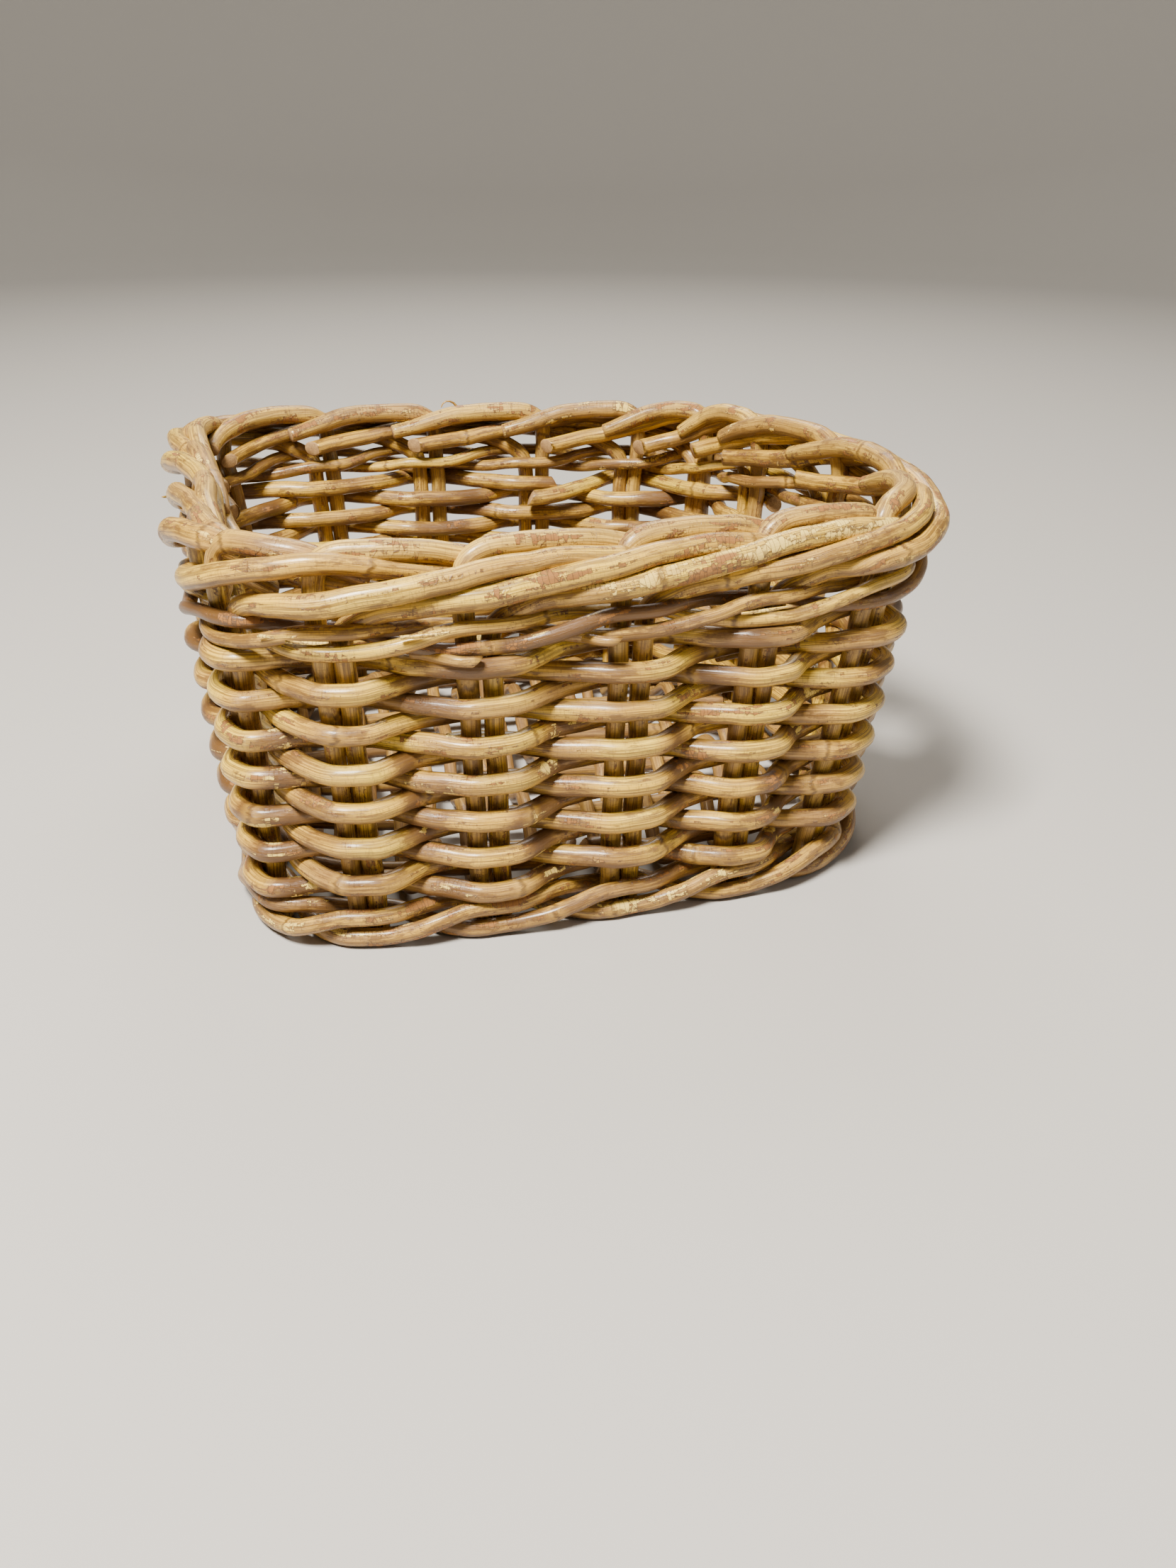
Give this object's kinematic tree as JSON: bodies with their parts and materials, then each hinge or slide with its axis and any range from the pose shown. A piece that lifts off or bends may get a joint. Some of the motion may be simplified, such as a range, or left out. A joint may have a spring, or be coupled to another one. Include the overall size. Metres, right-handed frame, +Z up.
{
  "type": "woven wicker basket",
  "caption": "Open-top woven rattan basket with flared walls, paired upright canes, a border rolled from the stakes' own ends and a hand hole in each short end.",
  "frame": {"origin": "centre of the foot, on the surface that the basket stands on", "axes": "+X along the longer side towards one hand hole, +Z up, -Y is the front"},
  "size_m": [0.4334, 0.3982, 0.2224],
  "materials": {
    "stake_cane": "pale honey rattan with the skin on and worn in patches along the border, browner below it, clear varnish, semi-gloss",
    "bye_stake_cane": "brown rattan with the skin on, clear varnish, semi-gloss",
    "weaver_cane": "honey rattan with the skin on, clear varnish, semi-gloss",
    "wale_cane": "tan rattan with the skin on, clear varnish, semi-gloss",
    "base_cane": "brown rattan, thin varnish, satin"
  },
  "bodies": {
    "root": {"base_stick_01": "base_cane", "base_stick_02": "base_cane", "base_stick_03": "base_cane", "base_stick_04": "base_cane", "base_stick_05": "base_cane", "base_stick_06": "base_cane", "base_weaver": "base_cane", "bye_stake_01": "bye_stake_cane", "bye_stake_02": "bye_stake_cane", "bye_stake_03": "bye_stake_cane", "bye_stake_04": "bye_stake_cane", "bye_stake_05": "bye_stake_cane", "bye_stake_06": "bye_stake_cane", "bye_stake_07": "bye_stake_cane", "bye_stake_08": "bye_stake_cane", "bye_stake_09": "bye_stake_cane", "bye_stake_10": "bye_stake_cane", "bye_stake_11": "bye_stake_cane", "bye_stake_12": "bye_stake_cane", "bye_stake_13": "bye_stake_cane", "bye_stake_14": "bye_stake_cane", "bye_stake_15": "bye_stake_cane", "bye_stake_16": "bye_stake_cane", "bye_stake_17": "bye_stake_cane", "bye_stake_18": "bye_stake_cane", "foot_wale_01": "wale_cane", "foot_wale_02": "wale_cane", "foot_wale_03": "wale_cane", "stake_01": "stake_cane", "stake_02": "stake_cane", "stake_03": "stake_cane", "stake_04": "stake_cane", "stake_05": "stake_cane", "stake_06": "stake_cane", "stake_07": "stake_cane", "stake_08": "stake_cane", "stake_09": "stake_cane", "stake_10": "stake_cane", "stake_11": "stake_cane", "stake_12": "stake_cane", "stake_13": "stake_cane", "stake_14": "stake_cane", "stake_15": "stake_cane", "stake_16": "stake_cane", "stake_17": "stake_cane", "stake_18": "stake_cane", "top_wale_01": "wale_cane", "top_wale_02": "wale_cane", "top_wale_03": "wale_cane", "upper_weaver_back": "weaver_cane", "upper_weaver_front": "weaver_cane", "weaver_row_01": "weaver_cane", "weaver_row_02": "weaver_cane", "weaver_row_03": "weaver_cane", "weaver_row_04": "weaver_cane", "weaver_row_05": "weaver_cane", "weaver_row_06": "weaver_cane", "weaver_row_07": "weaver_cane", "weaver_row_08": "weaver_cane", "weaver_row_09": "weaver_cane"}
  },
  "joints": []
}
